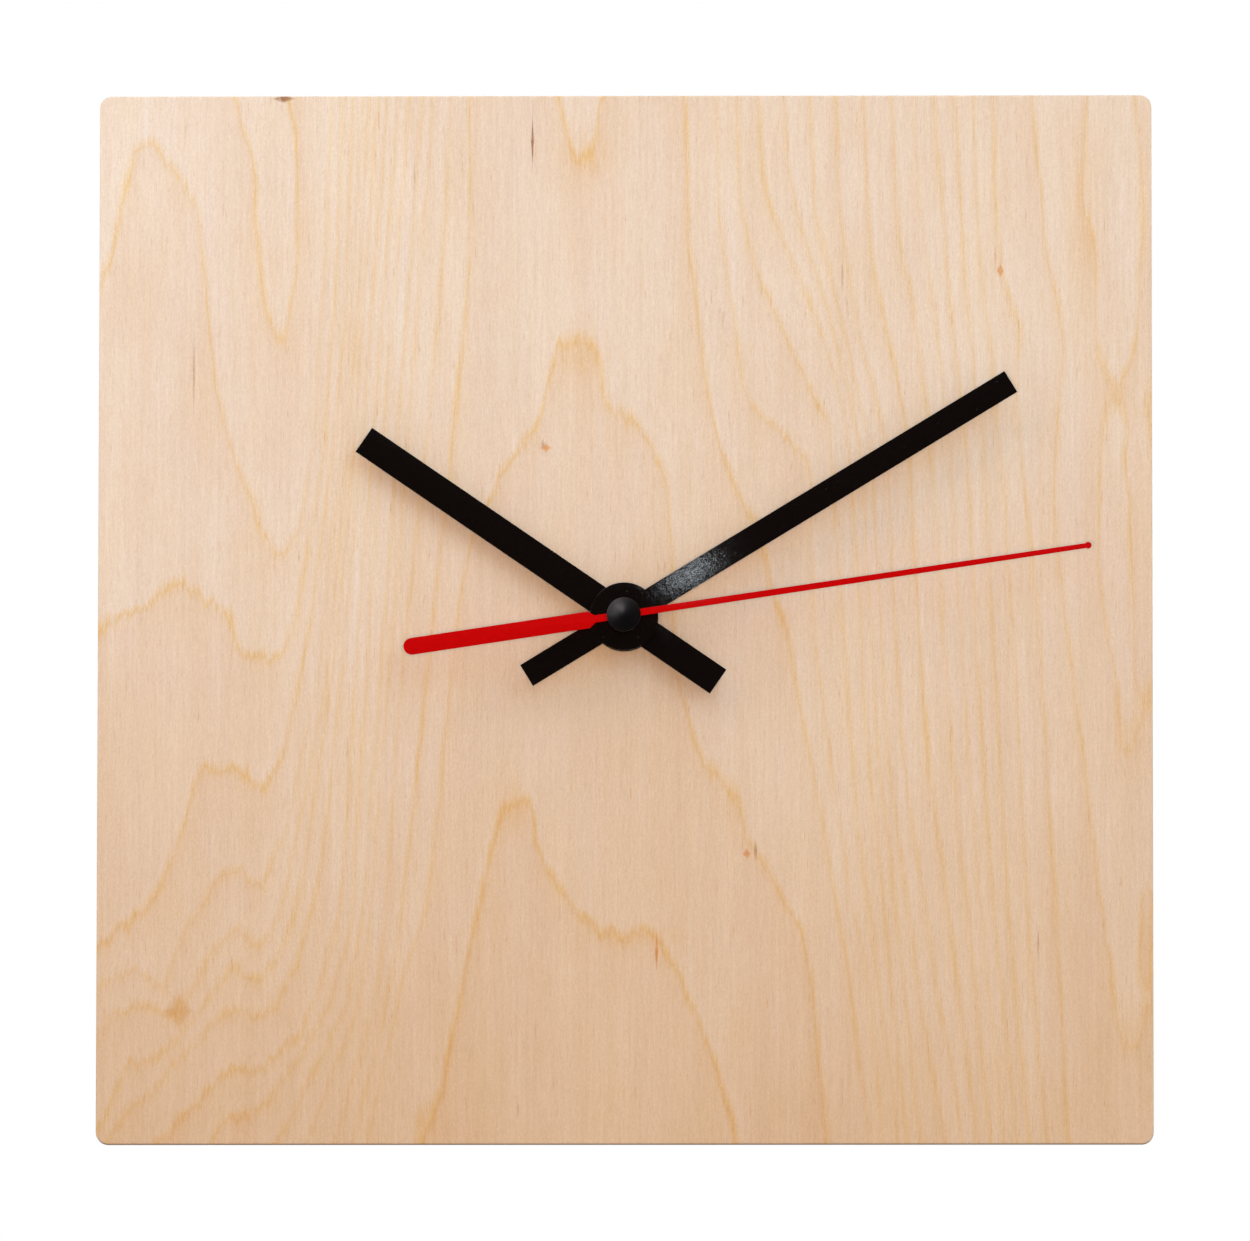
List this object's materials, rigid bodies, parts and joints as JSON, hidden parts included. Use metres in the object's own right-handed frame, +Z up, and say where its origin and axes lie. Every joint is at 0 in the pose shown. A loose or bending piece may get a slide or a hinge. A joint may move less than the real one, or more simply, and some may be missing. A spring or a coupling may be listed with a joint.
{
  "type": "wall clock",
  "caption": "Square birch plywood wall clock with black bar hands, a red second hand, a battery quartz movement and a keyhole wall hanger.",
  "frame": {"origin": "centre of the hanger's round hole, on the wall plane at the back of the clock", "axes": "+Y out of the back of the clock into the wall, so the dial faces -Y; +Z up; +X to the right as one looks at the dial"},
  "size_m": [0.3, 0.0366, 0.2999],
  "materials": {
    "birch_plywood": "matte",
    "brass": "satin",
    "rubber": "matte",
    "zinc_steel": "satin",
    "nickel": "satin",
    "case_black": "matte",
    "knob_black": "satin",
    "natural_plastic": "matte",
    "pcb_green": "satin",
    "chip_black": "satin",
    "crystal_can": "polished",
    "copper": "satin",
    "core_steel": "matte",
    "contact_strip": "satin",
    "battery_steel": "satin",
    "battery_print": "gloss",
    "magnet": "satin",
    "arbor_steel": "polished",
    "hand_black": "satin",
    "hand_red": "satin",
    "cap_charcoal": "satin"
  },
  "bodies": {
    "frame": {"plywood_board": "birch_plywood", "hex_nut": "brass", "brass_washer": "brass", "rubber_washer": "rubber", "hanger_plate": "zinc_steel", "threaded_bushing": "nickel", "movement_case": "case_black", "rear_cover": "case_black", "middle_plate": "natural_plastic", "circuit_board": "pcb_green", "controller_chip": "chip_black", "quartz_crystal": "crystal_can", "coil_bobbin": "natural_plastic", "coil_winding": "copper", "coil_core": "core_steel", "stator_plate": "core_steel", "stator_screws": "zinc_steel", "positive_contact": "contact_strip", "negative_contact": "contact_strip"},
    "battery": {"battery_cell": "battery_steel", "battery_sleeve": "battery_print"},
    "rotor": {"rotor_magnet": "magnet", "rotor_pinion": "natural_plastic"},
    "fifth": {"fifth_wheel": "natural_plastic"},
    "seconds": {"seconds_wheel": "natural_plastic", "seconds_arbor": "arbor_steel", "second_hand": "hand_red", "second_hand_tube": "brass", "second_hand_cap": "cap_charcoal"},
    "third": {"third_wheel": "natural_plastic"},
    "minutes": {"centre_wheel": "natural_plastic", "clutch_spring": "brass", "minute_arbor": "brass", "minute_hand": "hand_black", "minute_hand_collet": "brass", "minute_nut": "brass"},
    "setting": {"setting_wheel": "natural_plastic", "setting_knob": "knob_black"},
    "hours": {"hour_wheel": "natural_plastic", "hour_hand": "hand_black", "hour_hand_collet": "brass"}
  },
  "joints": [
    {"name": "second_hand_turn", "type": "hinge", "parent": "frame", "child": "seconds", "pos_m": [0, -0.01, -0.04], "axis": [0, 1, 0], "continuous": true},
    {"name": "minute_hand_turn", "type": "hinge", "parent": "frame", "child": "minutes", "pos_m": [0, -0.01, -0.04], "axis": [0, 1, 0], "continuous": true},
    {"name": "hour_hand_turn", "type": "hinge", "parent": "frame", "child": "hours", "pos_m": [0, -0.01, -0.04], "axis": [0, 1, 0], "continuous": true},
    {"name": "third_wheel_turn", "type": "hinge", "parent": "frame", "child": "third", "pos_m": [-0.00654, -0.01, -0.03066], "axis": [0, 1, 0], "continuous": true},
    {"name": "fifth_wheel_turn", "type": "hinge", "parent": "frame", "child": "fifth", "pos_m": [0.00855, -0.01, -0.04311], "axis": [0, 1, 0], "continuous": true},
    {"name": "rotor_turn", "type": "hinge", "parent": "frame", "child": "rotor", "pos_m": [0.01505, -0.01, -0.04426], "axis": [0, 1, 0], "continuous": true},
    {"name": "setting_knob_turn", "type": "hinge", "parent": "frame", "child": "setting", "pos_m": [0.01016, -0.01, -0.03289], "axis": [0, 1, 0], "continuous": true},
    {"name": "battery_slide", "type": "slide", "parent": "frame", "child": "battery", "axis": [0, 1, 0], "range_m": [0, 0.018]}
  ],
  "couplings": [
    {"joint": "minute_hand_turn", "follows": "second_hand_turn", "ratio": 0.016667},
    {"joint": "hour_hand_turn", "follows": "second_hand_turn", "ratio": 0.0013889},
    {"joint": "third_wheel_turn", "follows": "second_hand_turn", "ratio": -0.13333},
    {"joint": "fifth_wheel_turn", "follows": "second_hand_turn", "ratio": -6},
    {"joint": "rotor_turn", "follows": "second_hand_turn", "ratio": 30},
    {"joint": "setting_knob_turn", "follows": "second_hand_turn", "ratio": -0.0055556}
  ]
}
